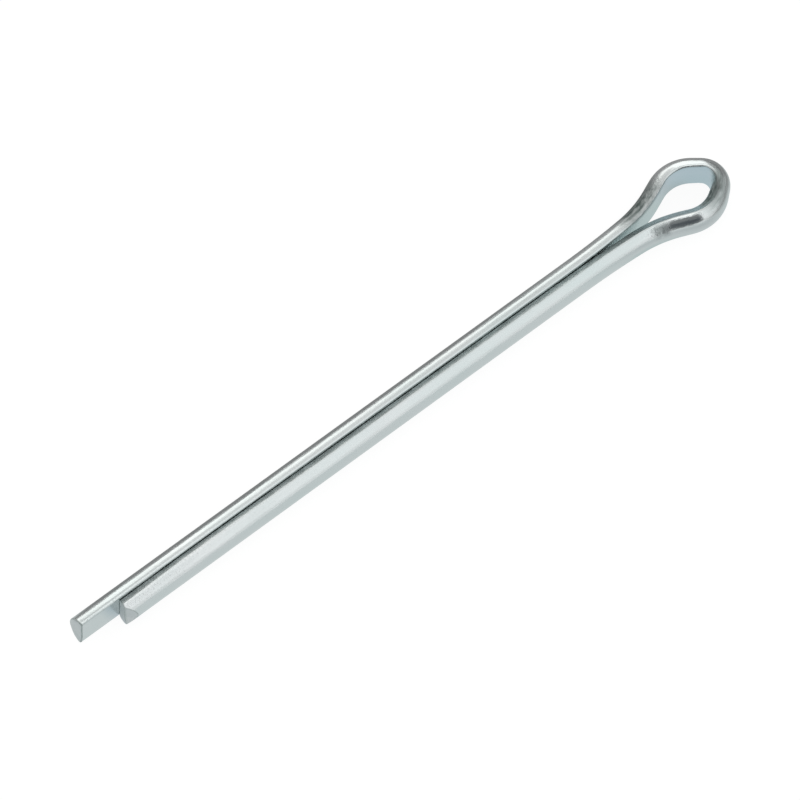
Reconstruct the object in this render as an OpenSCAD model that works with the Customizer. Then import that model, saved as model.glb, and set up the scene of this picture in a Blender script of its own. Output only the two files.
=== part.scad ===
// Split cotter pin: one length of half-round wire, folded at its middle into an open eye,
// with the flat faces of its two legs lying together as one round shank. The pin lies on its
// side, so the eye is level. +X runs from the leg tips to the eye, +Y is the side of the long
// leg, and the origin is under the middle of the whole pin, where it lies on a surface.
// All lengths are in millimetres and all angles in degrees.

/* [Wire] */
// Diameter of the round shank that the two legs make together
shank_d = 2.8; // [2.4:0.1:3.2]
// Width of the slit between the flat faces of the legs
slit_w = 0.06; // [0.02:0.01:0.2]
// Rounding of the two long edges of the wire
edge_r = 0.17; // [0.05:0.01:0.3]

/* [Legs] */
// Length of the short leg on the axis, from its tip to where the legs start to part
short_leg = 44.2; // [15:0.1:90]
// How much further the long leg reaches
leg_step = 3.5; // [0.5:0.1:8]
// Lean of both sheared tips, which are longest at the bottom
tip_lean = 3; // [0:0.5:8]
// Turn of the long tip, which is longest on its outer side
long_tip_turn = 3.5; // [0:0.5:20]
// Turn of the short tip, which is longest on its outer side
short_tip_turn = 12; // [0:0.5:20]
// Depth of the bevel on the outer side of the short tip
bevel_depth = 0.45; // [0.1:0.05:0.8]
// Angle of the bevel, measured from a square cut
bevel_angle = 49; // [30:1:65]

/* [Eye] */
// Width of the opening of the eye, from flat face to flat face
eye_w = 3.4; // [3:0.05:4.2]
// Radius of the first, gentle bend where the legs part
lead_r = 84; // [40:1:100]
// Angle of that first bend
lead_angle = 3.9; // [1:0.1:5]
// Angle between a flank of the eye and the axis of the pin
flank_angle = 23.1; // [18:0.1:28]
// Length of the straight flank
flank_len = 0.95; // [0.2:0.05:1.6]
// Inner radius of the eye at its widest place
side_r = 2.5; // [1.8:0.05:3]
// Angle between the straight beside the crown and the axis of the pin
roof_angle = 36; // [30:1:42]
// Inner radius of the crown, where the wire is folded
crown_r = 0.95; // [0.5:0.05:1.3]

/* [Hidden] */
$fn = 120;

shank_r = shank_d / 2;
// Depth of the wire, from its flat face to the outside of the round
wire_depth = shank_r - slit_w / 2;
// Height of the centre of an edge rounding above the middle of the wire
edge_z = sqrt(pow(shank_r - edge_r, 2) - pow(slit_w / 2 + edge_r, 2));
// Half the height of the wire
wire_half = edge_z + edge_r;
// Wider than any section, for the blocks that trim a tip
block = 6 * shank_r;

// What is left of half the eye's width is the rise of the shoulder bend
shoulder_rise = eye_w / 2 - slit_w / 2 - lead_r * (1 - cos(lead_angle))
    - flank_len * sin(flank_angle) - side_r * (1 - cos(flank_angle));
shoulder_r = shoulder_rise / (cos(lead_angle) - cos(flank_angle));
// The straight between the side bend and the crown closes the eye on the axis
roof_len = (eye_w / 2 - side_r * (1 - cos(roof_angle)) - crown_r * cos(roof_angle))
    / sin(roof_angle);
// How far the flat face runs along the axis, from where the legs part to the crown
eye_run = lead_r * sin(lead_angle) + shoulder_r * (sin(flank_angle) - sin(lead_angle))
    + flank_len * cos(flank_angle) + side_r * (sin(flank_angle) + sin(roof_angle))
    + roof_len * cos(roof_angle) + crown_r * (1 - sin(roof_angle));

long_leg = short_leg + leg_step;
// How far the long tip reaches beyond where its face crosses the axis
tip_reach = shank_r * norm([tan(long_tip_turn), tan(tip_lean)]);
total_len = tip_reach + long_leg + eye_run + wire_depth;

// Half of the eye, from the crown to a leg. Each run is a turn and a size: a turn of 0 is a
// straight of that length, and any other turn is a bend of that inner radius, left if positive
HALF_EYE = [
    [90 - roof_angle, crown_r],
    [0, roof_len],
    [roof_angle + flank_angle, side_r],
    [0, flank_len],
    [lead_angle - flank_angle, shoulder_r],
    [-lead_angle, lead_r]
];
// The runs are joined at a hundredth of their size and the pin is then grown back, so that
// what rounding leaves between two end faces is always too small to part them
GROWTH = 100;

// Section of the wire: its flat face lies on the Y axis, and the round faces +X
module section() {
    difference() {
        intersection() {
            translate([-slit_w / 2, 0]) circle(r = shank_r);
            translate([0, -block / 2]) square(block);
        }
        sharp_edge();
        mirror([0, 1]) sharp_edge();
    }
}

// What the rounding takes off the upper long edge
module sharp_edge() {
    reach = (shank_r + edge_r) / (shank_r - edge_r);
    difference() {
        polygon([
            [edge_r, edge_z],
            [-edge_r, edge_z],
            [-edge_r, edge_z + 2 * edge_r],
            [(edge_r + slit_w / 2) * reach - slit_w / 2, edge_z * reach]
        ]);
        translate([edge_r, edge_z]) circle(r = edge_r);
    }
}

// A straight of wire along +X, with its round side towards -Y
module straight(length) {
    translate([length, 0, 0])
        rotate([90, 0, -90])
            linear_extrude(length) section();
}

// A bend that turns left, round a centre on the side of the flat face
module bend_left(angle, radius) {
    translate([0, radius, 0])
        rotate(-90)
            rotate_extrude(angle = angle)
                translate([radius, 0]) section();
}

// A bend that turns right, round a centre beyond the round side
module bend_right(angle, radius) {
    translate([0, -radius, 0])
        rotate(90 - angle)
            rotate_extrude(angle = angle)
                translate([radius, 0]) mirror([1, 0]) section();
}

// One run of wire, as a straight or a bend
module draw_run(turn, size) {
    if (turn == 0) straight(size);
    if (turn > 0) bend_left(turn, size);
    if (turn < 0) bend_right(-turn, size);
}

// Puts its child at the end of a run, facing along the wire
module after_run(turn, size) {
    side = sign(turn) * size;
    advance = turn == 0 ? size : 0;
    translate([advance, side, 0]) rotate(turn) translate([0, -side, 0]) children();
}

// Joins the runs from number i on, each to the end of the one before, and then the child
module wire(runs, i = 0) {
    if (i < len(runs)) {
        scale(1 / GROWTH) draw_run(runs[i][0], runs[i][1]);
        after_run(runs[i][0], runs[i][1] / GROWTH) wire(runs, i + 1) children();
    } else {
        scale(1 / GROWTH) children();
    }
}

// A leg along +X, cut off at a length on its flat face by a tip that leans and turns
module leg(length, turn) {
    difference() {
        straight(length + block / 2);
        translate([length, 0, 0])
            rotate([0, -tip_lean, turn])
                translate([0, -block, -block / 2]) cube([block, 2 * block, block]);
    }
}

// The short leg, with its tip bevelled on the round side
module short_leg() {
    difference() {
        leg(short_leg, short_tip_turn);
        translate([short_leg, 0, 0])
            rotate([0, -tip_lean, short_tip_turn])
                translate([0, bevel_depth - wire_depth, -block / 2])
                    rotate(short_tip_turn - bevel_angle)
                        translate([0, -block, 0]) cube(block);
    }
}

// One side of the pin at its place: half of the eye, and the leg that is its child
module side() {
    translate([total_len / 2 - wire_depth, 0, wire_half])
        rotate(90)
            scale(GROWTH) wire(HALF_EYE) children();
}

module cotter_pin() {
    color([0.78, 0.80, 0.81]) {
        side() leg(long_leg, long_tip_turn);
        mirror([0, 1, 0]) side() short_leg();
    }
}

cotter_pin();
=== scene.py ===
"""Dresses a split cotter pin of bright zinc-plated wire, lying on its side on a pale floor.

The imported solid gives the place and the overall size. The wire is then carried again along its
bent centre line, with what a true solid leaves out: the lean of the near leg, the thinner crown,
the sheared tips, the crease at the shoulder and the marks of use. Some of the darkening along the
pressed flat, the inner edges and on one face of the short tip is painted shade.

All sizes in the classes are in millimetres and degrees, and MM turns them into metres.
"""

from __future__ import annotations

import logging
import math
from dataclasses import dataclass, field
from enum import Enum

import bpy
import numpy as np
from mathutils import Matrix, Vector

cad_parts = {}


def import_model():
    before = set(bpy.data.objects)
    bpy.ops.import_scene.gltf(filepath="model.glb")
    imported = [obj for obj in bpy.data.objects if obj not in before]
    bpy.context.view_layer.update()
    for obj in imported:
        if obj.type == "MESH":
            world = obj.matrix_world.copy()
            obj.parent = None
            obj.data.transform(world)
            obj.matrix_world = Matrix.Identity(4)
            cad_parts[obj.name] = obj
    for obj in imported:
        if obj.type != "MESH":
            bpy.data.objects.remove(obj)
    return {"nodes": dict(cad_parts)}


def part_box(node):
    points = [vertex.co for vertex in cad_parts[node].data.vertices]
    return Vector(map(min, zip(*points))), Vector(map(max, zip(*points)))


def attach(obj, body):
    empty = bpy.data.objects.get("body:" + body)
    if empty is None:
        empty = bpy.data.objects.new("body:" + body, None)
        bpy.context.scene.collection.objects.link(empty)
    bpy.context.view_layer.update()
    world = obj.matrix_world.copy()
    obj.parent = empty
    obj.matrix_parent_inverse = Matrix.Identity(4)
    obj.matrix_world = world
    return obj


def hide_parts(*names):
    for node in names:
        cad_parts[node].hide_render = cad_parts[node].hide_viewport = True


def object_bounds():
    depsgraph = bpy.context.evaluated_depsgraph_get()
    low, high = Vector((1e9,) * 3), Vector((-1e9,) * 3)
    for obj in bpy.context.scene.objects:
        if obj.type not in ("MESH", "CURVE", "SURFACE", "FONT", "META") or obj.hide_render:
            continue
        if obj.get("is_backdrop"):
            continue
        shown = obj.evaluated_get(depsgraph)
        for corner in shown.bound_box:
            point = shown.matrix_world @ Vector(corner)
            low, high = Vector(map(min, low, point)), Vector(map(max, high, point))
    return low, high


LOG = logging.getLogger("cotter_pin")
MM = 0.001
# Scales of the noises along, out from and up from the wire's line, per metre
LINE_SCALE = (260.0, 5200.0, 5200.0)
GRAIN_SCALE = (5200.0, 7000.0, 7000.0)
DAB_SCALE = (1500.0, 3600.0, 3600.0)
CLOUD_SCALE = (330.0, 900.0, 900.0)
# Beyond every edge of the shade sheet, in millimetres
FAR = 999


class Strand(Enum):
    """Which side of the pin a leg lies on."""

    LONG = 1
    SHORT = -1


def smooth_step(low: float, high: float, value: np.ndarray) -> np.ndarray:
    """Rises from 0 at low to 1 at high, as 3 t^2 - 2 t^3 of the share t of the way.

    Args:
        low: Where the rise starts.
        high: Where the rise ends.
        value: The places to work it out for.

    Returns:
        One height from 0 to 1 for each place.
    """
    share = np.clip((value - low) / (high - low), 0.0, 1.0)
    return share * share * (3.0 - 2.0 * share)


def bell(centre: float, width: float, value: np.ndarray) -> np.ndarray:
    """A bell of height 1: exp(-((value - centre) / width)^2).

    Args:
        centre: Where the bell is highest.
        width: How far out it falls to 1/e.
        value: The places to work it out for.

    Returns:
        One height for each place.
    """
    return np.exp(-(((value - centre) / width) ** 2))


@dataclass
class WireSection:
    """The half-round section of the wire, as a closed outline."""

    shank_r: float = 1.4
    slit_w: float = 0.06
    edge_r: float = 0.17
    crest_angle: float = 60.0
    flat_points: int = 14
    edge_points: int = 9
    top_points: int = 22
    round_points: int = 36

    def outline(self) -> tuple[np.ndarray, np.ndarray]:
        """Walks once round the outline, from the middle of the flat face and upwards.

        The round is a circle of shank_r about the wire's line, the flat is slit_w / 2 outside
        that line, and each edge is an arc of edge_r that touches both. out is measured from the
        wire's line towards the round side, and up is height.

        Returns:
            The out and up values of the outline's points.
        """
        core = self.shank_r - self.edge_r
        flat = self.slit_w / 2
        edge_out = flat + self.edge_r
        edge_up = math.sqrt(core**2 - edge_out**2)
        lean = math.asin(edge_out / core)
        share = np.linspace(0.0, 1.0, self.flat_points, endpoint=False)
        half = np.stack([np.full(self.flat_points, flat), share * edge_up])
        turn = np.linspace(math.pi, math.pi / 2 - lean, self.edge_points, endpoint=False)
        edge = np.stack(
            [edge_out + self.edge_r * np.cos(turn), edge_up + self.edge_r * np.sin(turn)]
        )
        crest = math.radians(self.crest_angle)
        top = np.linspace(math.pi / 2 - lean, crest, self.top_points, endpoint=False)
        sweep = np.append(top, np.linspace(crest, lean - math.pi / 2, self.round_points))
        arc = np.stack([self.shank_r * np.cos(sweep), self.shank_r * np.sin(sweep)])
        below = np.stack([edge[0][::-1], -edge[1][::-1]])
        under = np.stack([half[0][:0:-1], -half[1][:0:-1]])
        out, up = np.concatenate([half, edge, arc, below, under], axis=1)
        return out, up


@dataclass
class BentLine:
    """The line that the wire follows, from the long tip round the eye to the short tip."""

    shank_r: float = 1.4
    short_leg: float = 44.2
    leg_step: float = 3.5
    eye_half: float = 1.671
    lead_r: float = 84.0
    lead_angle: float = 3.87
    flank_angle: float = 23.15
    flank_len: float = 0.943
    side_r: float = 2.454
    roof_angle: float = 36.12
    crown_r: float = 0.907
    ease: float = 0.35
    fine: float = 0.005

    def eye_runs(self) -> list[tuple[float, float]]:
        """Lists half of the eye from a leg to the crown, each run as a length and a left turn.

        Returns:
            Pairs of length in millimetres and turn in degrees.
        """
        lead = math.radians(self.lead_angle)
        flank = math.radians(self.flank_angle)
        roof = math.radians(self.roof_angle)
        rise = (
            self.eye_half
            - self.lead_r * (1 - math.cos(lead))
            - self.flank_len * math.sin(flank)
            - self.side_r * (1 - math.cos(flank))
        )
        shoulder_r = rise / (math.cos(lead) - math.cos(flank))
        roof_len = (
            self.eye_half - self.side_r * (1 - math.cos(roof)) - self.crown_r * math.cos(roof)
        ) / math.sin(roof)
        return [
            (self.lead_r * lead, self.lead_angle),
            (shoulder_r * (flank - lead), self.flank_angle - self.lead_angle),
            (self.flank_len, 0.0),
            (self.side_r * (flank + roof), -self.flank_angle - self.roof_angle),
            (roof_len, 0.0),
            (self.crown_r * (math.pi / 2 - roof), self.roof_angle - 90.0),
        ]

    def half_eye(self) -> tuple[np.ndarray, np.ndarray, np.ndarray, np.ndarray]:
        """Bends half of the eye, with each change of bend eased over a short stretch.

        The heading is the running sum of the bend, and the place is the running sum of the
        heading's cosine and sine. Easing averages the bend over a cosine window of width ease.

        Returns:
            Arc length, x, y and heading in radians, from the leg to the crown's middle.
        """
        runs = self.eye_runs()
        lengths = np.array([length for length, _ in runs])
        bends = np.radians([turn for _, turn in runs]) / lengths
        ends = np.cumsum(lengths)
        reach = 4 * self.ease
        arc = np.arange(-reach, ends[-1] + reach, self.fine)
        inside = np.clip(np.searchsorted(ends, arc), 0, len(runs) - 1)
        bend = np.where(arc < 0, 0.0, bends[inside])
        window = np.hanning(int(2 * self.ease / self.fine) | 1)
        bend = np.convolve(bend, window / window.sum(), mode="same")
        keep = arc <= ends[-1]
        arc, bend = arc[keep], bend[keep]
        heading = np.cumsum(bend) * self.fine
        heading *= -(math.pi / 2) / heading[-1]
        x = np.cumsum(np.cos(heading)) * self.fine
        y = np.cumsum(np.sin(heading)) * self.fine
        y = y - y[-1] * smooth_step(0.0, ends[-1], arc)
        x = x - np.interp(0.0, arc, x)
        return arc, x, y, heading

    def trace(self, spacing: np.ndarray, x_parting: float) -> dict[str, np.ndarray]:
        """Places points on the whole line.

        Args:
            spacing: Signed distance of each point from the crown's middle, along the wire:
                negative on the long leg's side.
            x_parting: Where the legs start to part, along X.

        Returns:
            x, y and heading of each point, with the long leg's side at +y.
        """
        arc, x, y, heading = self.half_eye()
        away = arc[-1] - np.abs(spacing)
        straight = np.minimum(away - arc[0], 0.0)
        side = np.where(spacing <= 0, 1.0, -1.0)
        angle = np.interp(away, arc, heading)
        return {
            "x": x_parting + np.interp(away, arc, x) + straight,
            "y": side * np.interp(away, arc, y),
            "heading": np.where(spacing <= 0, angle, math.pi - angle),
        }


@dataclass
class TipCut:
    """The sheared end of one leg, as its reach beyond a square cut at each place of the section.

    reach = stand + turn * out + foot * rise(-up) - lean * up - bevel_slope * past, where past is
    how far a place lies beyond the bevel's ridge, or 0 before it, and rise is a smooth step
    towards the underside.
    """

    stand: float = 0.0
    turn: float = 0.0
    lean: float = 0.05
    foot: float = 0.0
    foot_rise: tuple[float, float] = (0.5, 1.6)
    bevel_slope: float = 0.0
    bevel_from: float = 9.0
    bevel_fade: float = 0.0
    fade_rise: tuple[float, float] = (0.2, 1.2)
    # A darker line along the ridge, and painted shade evenly on the cut's face inside the ridge
    ridge_darkening: float = 0.0
    ridge_width: float = 0.06
    inner_facet_shade: float = 0.0
    inner_soft: float = 0.05
    rim: float = 0.035

    def reach(self, out: np.ndarray, up: np.ndarray) -> np.ndarray:
        """How far the end face reaches beyond a square cut, in millimetres.

        Args:
            out: Distance from the wire's line towards the round side.
            up: Height above the wire's line.

        Returns:
            The reach at each place.
        """
        bevel = np.maximum(self.past_ridge(out, up), 0.0)
        foot = self.foot * smooth_step(*self.foot_rise, -up)
        return self.stand + self.turn * out + foot - self.lean * up - self.bevel_slope * bevel

    def past_ridge(self, out: np.ndarray, up: np.ndarray) -> np.ndarray:
        """How far each place is beyond the ridge: out - bevel_from - bevel_fade * rise(-up)."""
        return out - self.bevel_from - self.bevel_fade * smooth_step(*self.fade_rise, -up)

    def wear_and_shade(self, out: np.ndarray, up: np.ndarray) -> np.ndarray:
        """How much the cut's colour is darkened: a line along the ridge, and painted shade evenly
        on the ridge's inner side.

        Args:
            out: Distance from the wire's line towards the round side.
            up: Height above the wire's line.

        Returns:
            A share from 0 to 1 for each place.
        """
        past = self.past_ridge(out, up)
        inner = self.inner_facet_shade * (1.0 - smooth_step(-self.inner_soft, self.inner_soft, past))
        return np.maximum(inner, self.ridge_darkening * bell(0.0, self.ridge_width, past))


@dataclass
class Dent:
    """A shallow hollow pressed into the wire's surface."""

    along: float
    round_at: float
    length: float
    width: float
    depth: float
    skew: float = 0.0

    def push(self, along: np.ndarray, around: np.ndarray) -> np.ndarray:
        """Depth of the hollow: depth * exp(-(a / length)^2 - (b / width)^2), skewed.

        Args:
            along: Distance from the crown along the wire.
            around: Angle round the section, in degrees up from level.

        Returns:
            How far each point moves inwards.
        """
        b = (around - self.round_at + 180.0) % 360.0 - 180.0
        a = along - self.along - self.skew * b
        return self.depth * np.exp(-((a / self.length) ** 2) - (b / self.width) ** 2)


@dataclass
class Stain:
    """A scuffed patch, where the tool dulled the plating."""

    along: float
    round_at: float
    length: float
    width: float
    share: float

    def cover(self, along: np.ndarray, around: np.ndarray) -> np.ndarray:
        """Share of the patch: share * exp(-(a / length)^4 - (b / width)^4).

        Args:
            along: Distance from the crown along the wire.
            around: Angle round the section, in degrees up from level.

        Returns:
            How scuffed each point is, from 0 to 1.
        """
        a = (along - self.along) / self.length
        b = ((around - self.round_at + 180.0) % 360.0 - 180.0) / self.width
        return self.share * np.exp(-(a**4) - b**4)


@dataclass
class Facet:
    """The flat that the tool pressed along the top inner corner of the short leg's strand.

    It is a plane that leans by angles towards the other leg. It leaves the round where the round
    has turned by leaves_at from the top, its colour is darkened by wear_and_shade_shares, partly
    as wear from the tool and partly as painted shade, and the flat face beside it swells inwards
    by swells. Each of these is given at places along the wire from the crown. The facet fades in
    between the two places of starts, soften rounds its edges, swell_reach is how far out the
    swelling is felt, and wear_and_shade_soft is the half width of the darkening's edge.
    """

    soften: float = 0.012
    swell_reach: float = 0.6
    wear_and_shade_soft: float = 0.01
    # Darkening of the flat along the wire, partly wear and partly painted shade
    wear_and_shade_places: tuple[float, ...] = (1.0, 4.0, 7.5, 11.0)
    wear_and_shade_shares: tuple[float, ...] = (0.0, 0.3, 0.3, 0.46)
    starts: tuple[float, float] = (-0.6, 1.6)
    angle_places: tuple[float, ...] = (5.0, 8.0, 14.0)
    angles: tuple[float, ...] = (44.0, 45.0, 31.5)
    leave_places: tuple[float, ...] = (4.0, 6.0, 8.0, 14.0, 25.0, 39.0, 47.0, 53.0, 58.0)
    leaves_at: tuple[float, ...] = (18.9, 19.5, 19.5, 21.5, 20.0, 20.4, 17.2, 16.5, 20.7)
    swell_places: tuple[float, ...] = (-0.6, 1.6, 3.8, 5.0, 6.5, 8.0, 10.0, 13.0)
    swells: tuple[float, ...] = (0.0, 0.28, 0.29, 0.34, 0.33, 0.28, 0.14, 0.05)

    def press(
        self, out: np.ndarray, up: np.ndarray, along: np.ndarray, radius: float
    ) -> tuple[np.ndarray, np.ndarray, np.ndarray]:
        """Presses the sections down to the plane.

        A point's height e above the plane becomes -soften * ln(1 + exp(-e / soften)), which is e
        well below the plane and 0 well above it.

        Args:
            out: Distance of each point from the wire's line towards the round side.
            up: Height of each point.
            along: Each section's distance from the crown.
            radius: Radius of the round.

        Returns:
            The new out and up, and how much each point's colour is darkened, partly as wear and
            partly as painted shade.
        """
        share = smooth_step(*self.starts, along)[:, None]
        swell = np.interp(along, self.swell_places, self.swells)[:, None]
        out = out - swell * (1.0 - smooth_step(0.0, self.swell_reach, out))
        lean = np.radians(np.interp(along, self.angle_places, self.angles))[:, None]
        turn = np.radians(np.interp(along, self.leave_places, self.leaves_at))[:, None]
        above = up * np.cos(lean) - out * np.sin(lean) - radius * np.cos(turn + lean)
        soft = -self.soften * np.logaddexp(0.0, -above / self.soften)
        drop = share * (above - soft)
        # The flat's colour is darkened, partly as wear and partly as painted shade
        rub_and_shade = np.interp(along, self.wear_and_shade_places, self.wear_and_shade_shares)[:, None]
        wear_and_shade = rub_and_shade * smooth_step(-self.wear_and_shade_soft, self.wear_and_shade_soft, above)
        return out + drop * np.sin(lean), up - drop * np.cos(lean), wear_and_shade


@dataclass
class CotterPin:
    """The whole pin: one wire carried along its bent line and closed by its two tips."""

    section: WireSection = field(default_factory=WireSection)
    line: BentLine = field(default_factory=BentLine)
    long_tip: TipCut = field(
        default_factory=lambda: TipCut(stand=0.08, turn=0.03, lean=0.05, foot=0.12, rim=0.08)
    )
    short_tip: TipCut = field(
        default_factory=lambda: TipCut(
            turn=0.21,
            lean=0.062,
            bevel_slope=1.5,
            bevel_from=0.8,
            bevel_fade=0.45,
            ridge_darkening=0.7,
            inner_facet_shade=0.12,
            rim=0.045,
        )
    )
    facet: Facet = field(default_factory=Facet)
    crown_thinning: float = 0.1
    crown_width: float = 1.7
    eye_step: float = 0.06
    leg_step: float = 0.3
    # Length of the finely divided end of each leg, its stations and the eye's run past its bends
    fine_end: float = 3.0
    fine_stations: int = 44
    eye_margin: float = 1.0
    dents: tuple[Dent, ...] = (
        Dent(along=7.15, round_at=16.0, length=0.1, width=20.0, depth=0.06, skew=-0.008),
        Dent(along=6.95, round_at=44.0, length=0.6, width=9.0, depth=0.03),
    )
    stains: tuple[Stain, ...] = (
        Stain(along=-6.9, round_at=46.0, length=2.6, width=46.0, share=0.85),
        Stain(along=-6.6, round_at=98.0, length=2.4, width=16.0, share=0.4),
        Stain(along=1.3, round_at=84.0, length=1.35, width=26.0, share=0.75),
        Stain(along=1.6, round_at=175.0, length=1.3, width=85.0, share=0.6),
        Stain(along=2.3, round_at=103.0, length=1.1, width=26.0, share=1.0),
        Stain(along=1.65, round_at=64.0, length=1.45, width=26.0, share=0.55),
        Stain(along=6.95, round_at=42.0, length=0.7, width=26.0, share=0.45),
    )
    # Darkening of the inner edges, partly wear and partly painted shade: its most, its height and
    # width, and where it ends outwards
    edge_wear_and_shade: float = 0.46
    edge_height: float = 1.26
    edge_width: float = 0.08
    edge_out: tuple[float, float] = (0.05, 0.12)
    # Where the edge darkening ends past the crown and begins before it, then its share and its
    # start on the long leg
    eye_wear_and_shade_end: tuple[float, float] = (0.0, 1.5)
    eye_wear_and_shade_start: tuple[float, float] = (-4.2, -3.2)
    leg_wear_and_shade: float = 0.4
    leg_wear_and_shade_start: tuple[float, float] = (9.0, 12.0)
    # Darkening of a tip's rim on its inner and outer side, the out value that parts the two, and
    # how many rings of the cut share it
    rim_darkening: tuple[float, float] = (0.7, 0.38)
    rim_parting: float = 0.3
    rim_rings: int = 3
    # Where a cut's rings close in: its distance outwards and the least radius, as shares of
    # shank_r
    cut_middle: float = 0.52
    cut_radius: float = 0.6
    # Outward lean of the section's top, in degrees, at places along the wire from the crown
    lean_at: tuple[float, ...] = (-1.0, 0.4, 1.3, 3.6, 8.0, 16.0)
    leans: tuple[float, ...] = (0.0, 4.0, 6.0, 0.5, 0.3, 0.3)

    def stations(self) -> np.ndarray:
        """Spaces the stations along the wire, closest round the eye and at the tips.

        Returns:
            Signed distances from the crown's middle, from the long tip to the short tip.
        """
        eye = self.line.half_eye()[0][-1]
        short = self.line.short_leg
        long = short + self.line.leg_step
        reach = eye + self.eye_margin
        bend = np.linspace(-reach, reach, int(2 * reach / self.eye_step))

        def leg(length: float) -> np.ndarray:
            """Runs out along a leg, a coarse stretch and then the fine end.

            The coarse stretch stops half a step short, so that no two stations coincide.
            """
            stop = eye + length - self.fine_end - self.leg_step / 2
            coarse = np.arange(reach + self.leg_step, stop, self.leg_step)
            fine = eye + length - np.linspace(self.fine_end, 0.0, self.fine_stations)
            return np.concatenate([coarse, fine])

        return np.concatenate([-leg(long)[::-1], bend, leg(short)])

    def shaped_section(
        self, along: np.ndarray
    ) -> tuple[np.ndarray, np.ndarray, np.ndarray, np.ndarray]:
        """Gives the section at each station, thinned at the crown, dented, pressed and leaned.

        The angle round the section is 0 level on the round side, 90 at the flat's upper edge,
        180 at its middle and 270 at its lower edge.

        Args:
            along: The stations' distances from the crown.

        Returns:
            out, up, the angle round the section in degrees and how much each point's colour is
            darkened, partly as wear and partly as painted shade, all stations by points.
        """
        out, up = self.section.outline()
        around = np.degrees(np.arctan2(up, out)) % 360.0
        on_flat = out <= out.min()
        around = np.where(on_flat, 180.0 - 90.0 * up / up[on_flat].max(), around)
        around = around[None, :] + 0.0 * along[:, None]
        thin = 1.0 - self.crown_thinning * bell(0.0, self.crown_width, along)
        outs = out[None, :] * thin[:, None]
        ups = up[None, :] + 0.0 * along[:, None]
        push = np.zeros_like(outs)
        for dent in self.dents:
            push += dent.push(along[:, None], around)
        outs = outs * (1.0 - push / self.section.shank_r)
        ups = ups * (1.0 - push / self.section.shank_r)
        # The inner edges and the pressed flat are darkened, partly as wear and partly as painted
        # shade
        edge = bell(self.edge_height, self.edge_width, ups)
        edge = edge * (1.0 - smooth_step(*self.edge_out, outs))
        eye_edge = smooth_step(*self.eye_wear_and_shade_start, along)
        eye_edge = (1.0 - smooth_step(*self.eye_wear_and_shade_end, along)) * eye_edge
        leg_edge = self.leg_wear_and_shade * smooth_step(*self.leg_wear_and_shade_start, -along)
        edge *= self.edge_wear_and_shade * (eye_edge + leg_edge)[:, None]
        outs, ups, pressed = self.facet.press(outs, ups, along, self.section.shank_r)
        wear_and_shade = np.maximum(edge, pressed)
        for stain in self.stains:
            wear_and_shade = np.maximum(wear_and_shade, stain.cover(along[:, None], around))
        lean = np.radians(np.interp(along, self.lean_at, self.leans))[:, None]
        return (
            outs * np.cos(lean) + ups * np.sin(lean),
            ups * np.cos(lean) - outs * np.sin(lean),
            around,
            wear_and_shade,
        )

    def skin(self, x_parting: float, height: float) -> tuple[np.ndarray, np.ndarray, np.ndarray]:
        """Carries the section along the line: place + out * left normal + up * Z.

        Args:
            x_parting: Where the legs start to part, along X.
            height: Height of the wire's line.

        Returns:
            Points as rows by section points by 3, the grain coordinates of each point: distance
            along the wire, out and up, and how much each point's colour is darkened, by wear and
            by painted shade.
        """
        along = self.stations()
        outs, ups, around, wear_and_shade = self.shaped_section(along)
        line = self.line.trace(along, x_parting)
        sin, cos = np.sin(line["heading"])[:, None], np.cos(line["heading"])[:, None]
        points = np.stack(
            [line["x"][:, None] - sin * outs, line["y"][:, None] + cos * outs, height + ups],
            axis=-1,
        )
        for strand, tip in ((Strand.LONG, self.long_tip), (Strand.SHORT, self.short_tip)):
            end = along[0] if strand is Strand.LONG else along[-1]
            near = 1.0 - smooth_step(0.0, self.fine_end, np.abs(along - end))
            points[..., 0] -= near[:, None] * (tip.reach(outs, ups) - tip.rim)
        grain = np.stack([along[:, None] + 0.0 * outs, outs, ups], axis=-1)
        # Each tip's rim is darkened
        for row in (0, -1):
            rim = np.where(outs[row] < self.rim_parting, *self.rim_darkening)
            wear_and_shade[row] = np.maximum(wear_and_shade[row], rim)
        return points, grain, wear_and_shade

    def end_face(
        self, ring: np.ndarray, strand: Strand, height: float, rings: int = 14
    ) -> tuple[np.ndarray, np.ndarray]:
        """Closes one tip with rings that shrink from its rim to a middle point.

        The first rings turn over the rim on a quarter circle of radius rim, and the rest lie on
        the cut at x = end - reach(out, up).

        Args:
            ring: The last ring of the skin, points by 3.
            strand: The leg that the tip belongs to.
            height: Height of the wire's line.
            rings: Number of rings on the flat of the cut.

        Returns:
            Rings by points by 3 from the rim inwards, and the middle point.
        """
        tip = self.long_tip if strand is Strand.LONG else self.short_tip
        middle = np.array([self.cut_middle * strand.value * self.section.shank_r, height])
        turn = np.radians(np.linspace(22.5, 90.0, 4))
        radius = self.cut_radius * self.section.shank_r
        edge_share = 1.0 - tip.rim * (1.0 - np.cos(turn)) / radius
        share = np.concatenate([edge_share, np.linspace(edge_share[-1], 0.0, rings + 1)[1:-1]])
        sunk = np.concatenate([tip.rim * (1.0 - np.sin(turn)), np.zeros(rings - 1)])
        flat = middle + share[:, None, None] * (ring[None, :, 1:] - middle)

        def cut(places: np.ndarray) -> np.ndarray:
            """Reach of the cut at places given as y and z."""
            return tip.reach(strand.value * places[..., 0], places[..., 1] - height)

        square = ring[:, 0] + cut(ring[:, 1:]) - tip.rim
        x = square.mean() - cut(flat) + sunk[:, None]
        centre = np.array([square.mean() - float(cut(middle)), *middle])
        return np.concatenate([x[..., None], flat], axis=-1), centre

    @staticmethod
    def cut_grain(rings: np.ndarray, height: float) -> np.ndarray:
        """Grain coordinates on a cut: its X, and its Y and Z from the wire's line."""
        return rings - np.array([0.0, 0.0, height])

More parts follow.
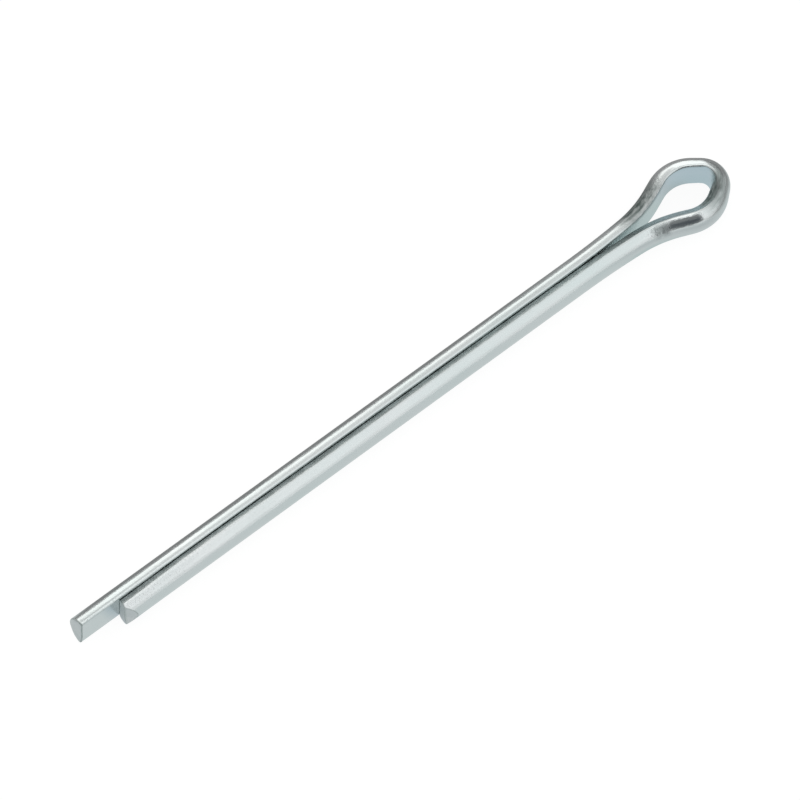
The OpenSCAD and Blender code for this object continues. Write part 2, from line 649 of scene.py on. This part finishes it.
    def build(self, low: Vector, high: Vector) -> bpy.types.Object:
        """Makes the wire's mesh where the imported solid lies.

        Args:
            low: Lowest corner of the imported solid, in metres.
            high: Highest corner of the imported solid, in metres.

        Returns:
            The wire as a mesh object at the origin.
        """
        height = (low.z + high.z) / 2 / MM
        crown = self.line.half_eye()[1][-1]
        skin, grain, wear_and_shade = self.skin(high.x / MM - self.section.shank_r - crown, height)
        rows, count = skin.shape[:2]
        long_rings, long_middle = self.end_face(skin[0], Strand.LONG, height)
        short_rings, short_middle = self.end_face(skin[-1], Strand.SHORT, height)
        layers = np.concatenate([long_rings[::-1], skin, short_rings])
        points = np.concatenate([layers.reshape(-1, 3), [long_middle, short_middle]]) * MM
        caps = len(long_rings)
        long_grain = self.cut_grain(long_rings[::-1], height)
        flow = np.concatenate([long_grain, grain, self.cut_grain(short_rings, height)])
        flow = np.concatenate([flow.reshape(-1, 3), grain[0, :1], grain[-1, :1]]) * MM
        face_rows, face_points = np.meshgrid(
            np.arange(len(layers) - 1), np.arange(count), indexing="ij"
        )
        following = (face_points + 1) % count
        quads = np.stack(
            [
                face_rows * count + face_points,
                (face_rows + 1) * count + face_points,
                (face_rows + 1) * count + following,
                face_rows * count + following,
            ],
            axis=-1,
        ).reshape(-1, 4)
        step = np.arange(count)
        first_fan = np.stack([np.full(count, len(points) - 2), step, (step + 1) % count], axis=-1)
        base = (len(layers) - 1) * count
        last_fan = np.stack(
            [np.full(count, len(points) - 1), base + (step + 1) % count, base + step], axis=-1
        )
        mesh = bpy.data.meshes.new("pin_wire")
        faces = quads.tolist() + first_fan.tolist() + last_fan.tolist()
        mesh.from_pydata(points.tolist(), [], faces)
        mesh.polygons.foreach_set("use_smooth", np.ones(len(mesh.polygons), dtype=bool))
        cut_rows = (face_rows < caps - 1) | (face_rows > rows + caps - 1)
        on_cut = np.concatenate([cut_rows.reshape(-1), np.ones(2 * count, dtype=bool)])
        mesh.polygons.foreach_set("material_index", on_cut.astype(np.int32))
        lie = mesh.attributes.new("wire_run", "FLOAT_VECTOR", "POINT")
        lie.data.foreach_set("vector", flow.astype(np.float32).reshape(-1))
        # How much each cut is darkened: the ridge line, painted shade inside the ridge, and the
        # rim
        worn_and_shaded = []
        for rings, tip, rim in (
            (long_rings, self.long_tip, wear_and_shade[0]),
            (short_rings, self.short_tip, wear_and_shade[-1]),
        ):
            flat = tip.wear_and_shade(np.abs(rings[..., 1]), rings[..., 2] - height)
            on_rim = np.arange(caps)[:, None] < self.rim_rings
            worn_and_shaded.append(np.where(on_rim, np.maximum(flat, rim), flat))
        marks = np.concatenate([worn_and_shaded[0][::-1], wear_and_shade, worn_and_shaded[1]]).reshape(-1)
        marks = np.append(marks, [worn_and_shaded[0][-1].mean(), worn_and_shaded[1][-1].mean()]).astype(np.float32)
        mesh.attributes.new("wear_and_shade", "FLOAT", "POINT").data.foreach_set("value", marks)
        mesh.validate()
        mesh.update()
        wire = bpy.data.objects.new("pin_wire", mesh)
        bpy.context.scene.collection.objects.link(wire)
        return wire


def add_node(tree: bpy.types.NodeTree, kind: str, **settings: object) -> bpy.types.Node:
    """Adds a shader node.

    Args:
        tree: The tree to add it to.
        kind: The node's type, without the ShaderNode prefix.
        settings: Node properties to set, and socket defaults under their names, with spaces
            written as underscores.

    Returns:
        The new node.
    """
    node = tree.nodes.new("ShaderNode" + kind)
    for name, value in settings.items():
        if hasattr(node, name):
            setattr(node, name, value)
        else:
            node.inputs[name.replace("_", " ")].default_value = value
    return node


def new_group(
    name: str, takes: dict[str, object], gives: dict[str, str]
) -> tuple[bpy.types.NodeTree, bpy.types.Node, bpy.types.Node]:
    """Starts a shader node group with named sockets.

    Args:
        name: The group's name.
        takes: Each input's name and default value, a number or a colour or vector.
        gives: Each output's name and socket type.

    Returns:
        The group's tree, its input node and its output node.
    """
    tree = bpy.data.node_groups.new(name, "ShaderNodeTree")
    for label, value in takes.items():
        if isinstance(value, tuple):
            kind = "NodeSocketColor" if len(value) == 4 else "NodeSocketVector"
        else:
            kind = "NodeSocketFloat"
        socket = tree.interface.new_socket(label, in_out="INPUT", socket_type=kind)
        socket.default_value = value
    for label, kind in gives.items():
        tree.interface.new_socket(label, in_out="OUTPUT", socket_type=kind)
    return tree, tree.nodes.new("NodeGroupInput"), tree.nodes.new("NodeGroupOutput")


def drawn_grain_group() -> bpy.types.NodeTree:
    """Builds the fine lines that drawing leaves along the wire, under the plating.

    Noise on (along, out, up) * LINE_SCALE gives lines that follow the wire, noise on
    GRAIN_SCALE the plating's grain, and noise on DAB_SCALE the dabs that break up a scuff.

    Returns:
        A group that takes Run, Lines and Grain. It gives Height, which is Lines times the lines
        plus Grain times the grain, Streak, which is the lines, and Patch, which is the dabs.
    """
    tree, takes, gives = new_group(
        "drawn_grain",
        {"Run": (0.0, 0.0, 0.0), "Lines": 1.0, "Grain": 1.0},
        {"Height": "NodeSocketFloat", "Streak": "NodeSocketFloat", "Patch": "NodeSocketFloat"},
    )
    link = tree.links.new
    stretch = add_node(tree, "VectorMath", operation="MULTIPLY")
    stretch.inputs[1].default_value = LINE_SCALE
    lines = add_node(tree, "TexNoise", Scale=1.0, Detail=3.0, Roughness=0.6)
    even = add_node(tree, "VectorMath", operation="MULTIPLY")
    even.inputs[1].default_value = GRAIN_SCALE
    grain = add_node(tree, "TexNoise", Scale=1.0, Detail=2.0, Roughness=0.55)
    link(takes.outputs["Run"], stretch.inputs[0])
    link(takes.outputs["Run"], even.inputs[0])
    link(stretch.outputs[0], lines.inputs["Vector"])
    link(even.outputs[0], grain.inputs["Vector"])
    line_part = add_node(tree, "Math", operation="MULTIPLY")
    grain_part = add_node(tree, "Math", operation="MULTIPLY_ADD")
    link(lines.outputs["Fac"], line_part.inputs[0])
    link(takes.outputs["Lines"], line_part.inputs[1])
    link(grain.outputs["Fac"], grain_part.inputs[0])
    link(takes.outputs["Grain"], grain_part.inputs[1])
    link(line_part.outputs[0], grain_part.inputs[2])
    link(grain_part.outputs[0], gives.inputs["Height"])
    link(lines.outputs["Fac"], gives.inputs["Streak"])
    dabs = add_node(tree, "VectorMath", operation="MULTIPLY")
    dabs.inputs[1].default_value = DAB_SCALE
    patch = add_node(tree, "TexNoise", Scale=1.0, Detail=2.0, Roughness=0.5)
    link(takes.outputs["Run"], dabs.inputs[0])
    link(dabs.outputs[0], patch.inputs["Vector"])
    link(patch.outputs["Fac"], gives.inputs["Patch"])
    return tree


def plate_cloud_group() -> bpy.types.NodeTree:
    """Builds the uneven bloom of the plating, in soft patches that run a little along the wire.

    Returns:
        A group that takes Run and Size and gives Cloud and Tint, both from 0 to 1.
    """
    tree, takes, gives = new_group(
        "plate_cloud",
        {"Run": (0.0, 0.0, 0.0), "Size": 1.0},
        {"Cloud": "NodeSocketFloat", "Tint": "NodeSocketFloat"},
    )
    link = tree.links.new
    stretch = add_node(tree, "VectorMath", operation="MULTIPLY")
    stretch.inputs[1].default_value = CLOUD_SCALE
    resize = add_node(tree, "VectorMath", operation="SCALE")
    link(takes.outputs["Run"], stretch.inputs[0])
    link(stretch.outputs[0], resize.inputs[0])
    link(takes.outputs["Size"], resize.inputs["Scale"])
    for label, scale in (("Cloud", 1.0), ("Tint", 0.37)):
        noise = add_node(tree, "TexNoise", Scale=scale, Detail=4.0, Roughness=0.6)
        spread = add_node(tree, "MapRange", From_Min=0.3, From_Max=0.7)
        link(resize.outputs[0], noise.inputs["Vector"])
        link(noise.outputs["Fac"], spread.inputs["Value"])
        link(spread.outputs[0], gives.inputs[label])
    return tree


@dataclass(frozen=True)
class ZincFinish:
    """A zinc-plated surface.

    light and deep are its two tones, and scuffed_and_shaded is its tone where it shows wear and
    where shade is painted into it. Its roughness grows by roughness_spread with the bloom and by
    scuff_roughness with the share of wear and shade. lines and grain weigh the drawn lines and the
    grain in its relief, scuff_grain is the grain that wear adds, and depth is the relief's depth
    in metres. patch_weight weighs the dabs against the lines in the wear, and wear_from and
    wear_to are the ranges that their sum is carried between.
    """

    name: str
    light: tuple[float, float, float, float]
    deep: tuple[float, float, float, float]
    scuffed_and_shaded: tuple[float, float, float, float]
    roughness: float
    roughness_spread: float
    scuff_roughness: float
    lines: float
    grain: float
    scuff_grain: float
    depth: float
    patch_weight: float = 1.3
    wear_from: tuple[float, float] = (0.9, 1.4)
    wear_to: tuple[float, float] = (0.65, 1.25)

    def material(self, grain: bpy.types.NodeTree, cloud: bpy.types.NodeTree) -> bpy.types.Material:
        """Makes the material.

        Args:
            grain: The drawn-grain group.
            cloud: The plate-cloud group.

        Returns:
            A metal whose tone, roughness and relief vary over the surface.
        """
        made = bpy.data.materials.new(self.name)
        made.use_nodes = True
        tree = made.node_tree
        link = tree.links.new
        metal = tree.nodes["Principled BSDF"]
        metal.inputs["Metallic"].default_value = 1.0
        run = add_node(tree, "Attribute", attribute_name="wire_run")
        lines = add_node(tree, "Group", node_tree=grain, Lines=self.lines)
        bloom = add_node(tree, "Group", node_tree=cloud, Size=1.0)
        link(run.outputs["Vector"], lines.inputs["Run"])
        link(run.outputs["Vector"], bloom.inputs["Run"])
        tone = add_node(tree, "Mix", data_type="RGBA")
        tone.inputs["A"].default_value = self.light
        tone.inputs["B"].default_value = self.deep
        link(bloom.outputs["Tint"], tone.inputs["Factor"])
        # Darkening from the mesh: wear and stains, and painted shade along the pressed flat, the
        # inner edges and one face of the short tip
        wear_and_shade = add_node(tree, "Attribute", attribute_name="wear_and_shade")
        patchy = add_node(tree, "Math", operation="MULTIPLY_ADD")
        patchy.inputs[1].default_value = self.patch_weight
        streaky = add_node(
            tree,
            "MapRange",
            From_Min=self.wear_from[0],
            From_Max=self.wear_from[1],
            To_Min=self.wear_to[0],
            To_Max=self.wear_to[1],
        )
        worn_and_shaded = add_node(tree, "Math", operation="MULTIPLY", use_clamp=True)
        link(lines.outputs["Patch"], patchy.inputs[0])
        link(lines.outputs["Streak"], patchy.inputs[2])
        link(patchy.outputs[0], streaky.inputs["Value"])
        coarse = add_node(tree, "Math", operation="MULTIPLY_ADD")
        coarse.inputs[1].default_value = self.scuff_grain
        coarse.inputs[2].default_value = self.grain
        link(wear_and_shade.outputs["Fac"], coarse.inputs[0])
        link(coarse.outputs[0], lines.inputs["Grain"])
        link(wear_and_shade.outputs["Fac"], worn_and_shaded.inputs[0])
        link(streaky.outputs[0], worn_and_shaded.inputs[1])
        dull = add_node(tree, "Mix", data_type="RGBA")
        dull.inputs["B"].default_value = self.scuffed_and_shaded
        link(worn_and_shaded.outputs[0], dull.inputs["Factor"])
        link(tone.outputs["Result"], dull.inputs["A"])
        link(dull.outputs["Result"], metal.inputs["Base Color"])
        rough = add_node(tree, "Math", operation="MULTIPLY_ADD")
        rough.inputs[1].default_value = self.roughness_spread
        rough.inputs[2].default_value = self.roughness
        rougher = add_node(tree, "Math", operation="MULTIPLY_ADD")
        rougher.inputs[1].default_value = self.scuff_roughness
        link(bloom.outputs["Cloud"], rough.inputs[0])
        link(worn_and_shaded.outputs[0], rougher.inputs[0])
        link(rough.outputs[0], rougher.inputs[2])
        link(rougher.outputs[0], metal.inputs["Roughness"])
        relief = add_node(tree, "Bump", Strength=1.0, Distance=self.depth)
        link(lines.outputs["Height"], relief.inputs["Height"])
        link(relief.outputs["Normal"], metal.inputs["Normal"])
        return made


WIRE_PLATE = ZincFinish(
    name="bright_zinc_plate",
    light=(0.80, 0.82, 0.825, 1.0),
    deep=(0.735, 0.795, 0.795, 1.0),
    # Dark tone for wear, and for painted shade along the pressed flat and the inner edges
    scuffed_and_shaded=(0.162, 0.2, 0.192, 1.0),
    roughness=0.12,
    roughness_spread=0.07,
    scuff_roughness=0.45,
    lines=0.8,
    grain=0.55,
    scuff_grain=3.0,
    depth=0.000014,
)
SHEARED_PLATE = ZincFinish(
    name="sheared_zinc_plate",
    light=(0.74, 0.76, 0.765, 1.0),
    deep=(0.66, 0.69, 0.70, 1.0),
    # Dark tone for the ridge line and the rims, and for painted shade on the short tip's inner
    # face
    scuffed_and_shaded=(0.40, 0.46, 0.45, 1.0),
    roughness=0.38,
    roughness_spread=0.12,
    scuff_roughness=0.1,
    lines=0.2,
    grain=1.0,
    scuff_grain=0.5,
    depth=0.00002,
)


@dataclass(frozen=True)
class Panel:
    """A soft-edged patch of light or shade on a reflector, by two ranges and its tone."""

    first: tuple[float, float]
    second: tuple[float, float]
    soft: float
    tone: tuple[float, float, float]

    def cover(self, first: np.ndarray, second: np.ndarray) -> np.ndarray:
        """Share of the patch at each place: a smooth step in and out of both ranges.

        Args:
            first: The places' first coordinate.
            second: The places' second coordinate.

        Returns:
            One share from 0 to 1 for each place.
        """
        share = np.ones_like(first)
        for value, (low, high) in ((first, self.first), (second, self.second)):
            share = share * smooth_step(low - self.soft, low + self.soft, value)
            share = share * (1.0 - smooth_step(high - self.soft, high + self.soft, value))
        return share


def painted(panels: tuple[Panel, ...], first: np.ndarray, second: np.ndarray) -> np.ndarray:
    """Paints panels over each other: tone = tone * (1 - share) + panel tone * share, in order.

    Args:
        panels: The panels, the first of them the ground that the rest lie on.
        first: The places' first coordinate.
        second: The places' second coordinate.

    Returns:
        The colour of each place, with a fourth value of 1.
    """
    tone = np.ones(first.shape + (3,)) * panels[0].tone
    for panel in panels[1:]:
        share = panel.cover(first, second)[..., None]
        tone = tone * (1.0 - share) + np.array(panel.tone) * share
    return np.concatenate([tone, np.ones(first.shape + (1,))], axis=-1)


@dataclass
class Reflectors:
    """What the bright wire mirrors: a tent of soft panels, and a sheet of shade on the floor.

    This is not plain studio light. Only reflections see the tent and the sheet, and they keep
    the white floor and the even room out of the wire's reflections. The panels' places and tones
    are fitted to the view from the studio's camera, and the smallest serve one spot of it.

    The tent's panels are placed in degrees: the first range is the turn from overhead towards
    the near side, the second the lean towards the eye. The sheet's are in millimetres along and
    across the pin.
    """

    tent_r: float = 0.75
    tent_panels: tuple[Panel, ...] = (
        Panel((-180, 180), (-90, 90), 1, (0.76, 0.77, 0.765)),
        Panel((24, 80), (-4, 60), 10, (0.89, 0.92, 0.92)),
        Panel((24, 80), (-4, 14.5), 3, (1.03, 1.05, 1.05)),
        Panel((78, 100), (-90, 90), 8, (0.80, 0.82, 0.82)),
        Panel((-32, 30), (-12, 11.5), 2, (1.24, 1.26, 1.24)),
        Panel((-180, -34), (-90, 90), 5, (0.24, 0.24, 0.24)),
        Panel((-66, -34), (8.5, 21), 3, (0.78, 0.79, 0.785)),
        Panel((-84, -62), (8.5, 44), 3, (1.2, 1.21, 1.18)),
        Panel((-76, -34), (23, 46), 2.5, (1.26, 1.27, 1.25)),
        Panel((-80, -53), (8.5, 14.5), 3, (1.35, 1.36, 1.33)),
        Panel((-34, 20), (50, 120), 12, (0.24, 0.25, 0.25)),
        Panel((-34, 18), (41, 60), 4, (0.2, 0.2, 0.2)),
        Panel((32, 60), (-26, 8.5), 1.5, (0.18, 0.19, 0.195)),
        Panel((28, 40), (1, 8.5), 1.5, (0.18, 0.19, 0.195)),
        Panel((55, 77), (-26, 7), 3, (0.08, 0.09, 0.1)),
        Panel((74, 89), (-26, -5), 4, (0.1, 0.11, 0.115)),
        Panel((74, 84), (-8, 7), 4, (0.12, 0.13, 0.135)),
    )
    sheet_x: float = 160.0
    sheet_y: float = 90.0
    tent_points: int = 121
    sheet_points: tuple[int, int] = (321, 361)
    sheet_panels: tuple[Panel, ...] = (
        Panel((-FAR, FAR), (-FAR, FAR), 1, (0.64, 0.68, 0.68)),
        Panel((-30, FAR), (1.6, FAR), 1.5, (0.25, 0.25, 0.25)),
        Panel((14, FAR), (5, FAR), 3, (0.34, 0.34, 0.34)),
        Panel((34, FAR), (-FAR, FAR), 4, (0.3, 0.3, 0.3)),
        Panel((21, 27.5), (-2.5, 1.6), 1.0, (0.52, 0.60, 0.60)),
        Panel((27, 30.5), (-2.5, 1.6), 1.0, (0.50, 0.60, 0.65)),
        Panel((22.5, 31), (-14, -4.2), 3.5, (0.52, 0.55, 0.56)),
        Panel((-28.2, -26.2), (-1.3, 0.2), 0.45, (0.48, 0.55, 0.59)),
        Panel((-27.9, -26.2), (-1.25, -0.6), 0.35, (0.22, 0.30, 0.36)),
    )

    @staticmethod
    def show(name: str, points: np.ndarray, tones: np.ndarray) -> bpy.types.Object:
        """Makes one painted sheet from a grid of points, seen in reflections alone.

        Args:
            name: The sheet's name.
            points: Rows by columns by 3, in metres.
            tones: The colour that each point glows in.

        Returns:
            The sheet, marked as part of the stage.
        """
        rows, columns = points.shape[:2]
        row, column = np.meshgrid(np.arange(rows - 1), np.arange(columns - 1), indexing="ij")
        first = (row * columns + column).reshape(-1)
        quads = np.stack([first, first + columns, first + columns + 1, first + 1], axis=-1)
        mesh = bpy.data.meshes.new(name)
        mesh.from_pydata(points.reshape(-1, 3).tolist(), [], quads.tolist())
        paint = mesh.attributes.new("paint", "FLOAT_COLOR", "POINT")
        paint.data.foreach_set("color", tones.astype(np.float32).reshape(-1))
        lit = bpy.data.materials.new(name)
        lit.use_nodes = True
        tree = lit.node_tree
        tree.nodes.clear()
        tone = add_node(tree, "Attribute", attribute_name="paint")
        light = add_node(tree, "Emission")
        out = add_node(tree, "OutputMaterial")
        tree.links.new(tone.outputs["Color"], light.inputs["Color"])
        tree.links.new(light.outputs[0], out.inputs["Surface"])
        mesh.materials.append(lit)
        sheet = bpy.data.objects.new(name, mesh)
        for ray in ("camera", "diffuse", "transmission", "volume_scatter", "shadow"):
            setattr(sheet, "visible_" + ray, False)
        bpy.context.scene.collection.objects.link(sheet)
        sheet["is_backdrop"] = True
        return sheet

    def tent(self) -> bpy.types.Object:
        """Stands the tent up: place = tent_r (sin a, -cos a sin b, cos a cos b), a over b.

        Returns:
            The tent.
        """
        angles = np.linspace(-90, 90, self.tent_points)
        turn, lean = np.meshgrid(angles, angles, indexing="ij")
        b, a = np.radians(turn), np.radians(lean)
        points = np.stack([np.sin(a), -np.cos(a) * np.sin(b), np.cos(a) * np.cos(b)], axis=-1)
        tones = painted(self.tent_panels, turn, lean)
        return self.show("reflector_tent", self.tent_r * points, tones)

    def sheet(self, level: float) -> bpy.types.Object:
        """Lays the sheet of shade on the floor.

        Args:
            level: Height of the floor, in metres.

        Returns:
            The sheet.
        """
        x, y = np.meshgrid(
            np.linspace(-self.sheet_x, self.sheet_x, self.sheet_points[0]),
            np.linspace(-self.sheet_y, self.sheet_y, self.sheet_points[1]),
            indexing="ij",
        )
        points = np.stack([x * MM, y * MM, 0.0 * x + level], axis=-1)
        return self.show("shade_sheet", points, painted(self.sheet_panels, x, y))


@dataclass
class Studio:
    """The pale floor, the soft light and the camera."""

    floor_size: float = 1.6
    floor_drop: float = 0.00002
    azimuth: float = -39.343
    elevation: float = 62.0
    distance: float = 0.45383
    aim: tuple[float, float, float] = (-0.00071, 0.00026, 0.00138)
    lens: float = 270.0
    sensor: float = 36.0
    # Tones of the floor as it lights the pin and as it is seen, and the strength of both lights
    paper: float = 0.8
    paper_seen: float = 0.14
    glow: float = 0.9
    room: float = 0.9

    def camera(self) -> bpy.types.Object:
        """Makes the camera, level, at a distance from its aim.

        Returns:
            The camera.
        """
        data = bpy.data.cameras.new("studio_camera")
        data.lens, data.sensor_width = self.lens, self.sensor
        data.clip_start, data.clip_end = 0.01, 10.0
        turn, rise = math.radians(self.azimuth), math.radians(self.elevation)
        back = Vector(
            (math.sin(turn) * math.cos(rise), -math.cos(turn) * math.cos(rise), math.sin(rise))
        )
        eye = bpy.data.objects.new("studio_camera", data)
        eye.location = Vector(self.aim) + self.distance * back
        right = Vector((math.cos(turn), math.sin(turn), 0.0))
        eye.rotation_mode = "QUATERNION"
        axes = Matrix((right, back.cross(right), back)).transposed()
        eye.rotation_quaternion = axes.to_quaternion()
        bpy.context.scene.collection.objects.link(eye)
        bpy.context.scene.camera = eye
        return eye

    def floor(self, level: float) -> bpy.types.Object:
        """Lays the floor: white to look at, with a faint shadow under the pin.

        Mirror rays would see it white too, but the reflectors' sheet hides it from them.

        Args:
            level: Height that the pin rests at, in metres.

        Returns:
            The floor.
        """
        half = self.floor_size / 2
        corners = half * np.array([[-1, -1], [1, -1], [1, 1], [-1, 1]])
        points = np.column_stack([corners, np.full(4, level - self.floor_drop)])
        mesh = bpy.data.meshes.new("floor")
        mesh.from_pydata(points.tolist(), [], [(0, 1, 2, 3)])
        floor = bpy.data.objects.new("floor", mesh)
        bpy.context.scene.collection.objects.link(floor)
        paper = bpy.data.materials.new("white_paper")
        paper.use_nodes = True
        tree = paper.node_tree
        tree.nodes.clear()
        link = tree.links.new
        matt = add_node(tree, "BsdfDiffuse", Color=(*[self.paper] * 3, 1.0))
        seen = add_node(tree, "BsdfDiffuse", Color=(*[self.paper_seen] * 3, 1.0))
        glow = add_node(tree, "Emission", Color=(1.0, 1.0, 1.0, 1.0), Strength=self.glow)
        both = add_node(tree, "AddShader")
        path = add_node(tree, "LightPath")
        either = add_node(tree, "Math", operation="MAXIMUM")
        through = add_node(tree, "Math", operation="MAXIMUM")
        pick = add_node(tree, "MixShader")
        out = add_node(tree, "OutputMaterial")
        link(seen.outputs[0], both.inputs[0])
        link(glow.outputs[0], both.inputs[1])
        link(path.outputs["Is Camera Ray"], either.inputs[0])
        link(path.outputs["Is Glossy Ray"], either.inputs[1])
        link(either.outputs[0], through.inputs[0])
        link(path.outputs["Is Transmission Ray"], through.inputs[1])
        link(through.outputs[0], pick.inputs["Fac"])
        link(matt.outputs[0], pick.inputs[1])
        link(both.outputs[0], pick.inputs[2])
        link(pick.outputs[0], out.inputs["Surface"])
        mesh.materials.append(paper)
        floor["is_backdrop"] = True
        return floor

    def world(self) -> None:
        """Fills the room with even, soft light."""
        room = bpy.data.worlds.new("soft_room")
        room.use_nodes = True
        air = room.node_tree.nodes["Background"]
        air.inputs["Color"].default_value = (1.0, 1.0, 1.0, 1.0)
        air.inputs["Strength"].default_value = self.room
        bpy.context.scene.world = room


def main() -> None:
    """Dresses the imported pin, lights it and sets the camera."""
    logging.basicConfig(level=logging.INFO, format="%(name)s: %(message)s")
    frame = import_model()
    solid_low, solid_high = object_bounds()
    bpy.context.scene.view_settings.view_transform = "Standard"
    LOG.info("frame holds %s", ", ".join(sorted(frame["nodes"])))

    studio = Studio()
    studio.camera()
    studio.world()

    wire = CotterPin().build(*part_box("cotter_pin"))
    grain, cloud = drawn_grain_group(), plate_cloud_group()
    for finish in (WIRE_PLATE, SHEARED_PLATE):
        wire.data.materials.append(finish.material(grain, cloud))
    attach(wire, "root")
    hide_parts("cotter_pin")
    LOG.info("%s has %d faces", wire.name, len(wire.data.polygons))

    studio.floor(solid_low.z)
    reflectors = Reflectors()
    reflectors.tent()
    reflectors.sheet(solid_low.z - 0.5 * studio.floor_drop)


if __name__ == "__main__":
    main()
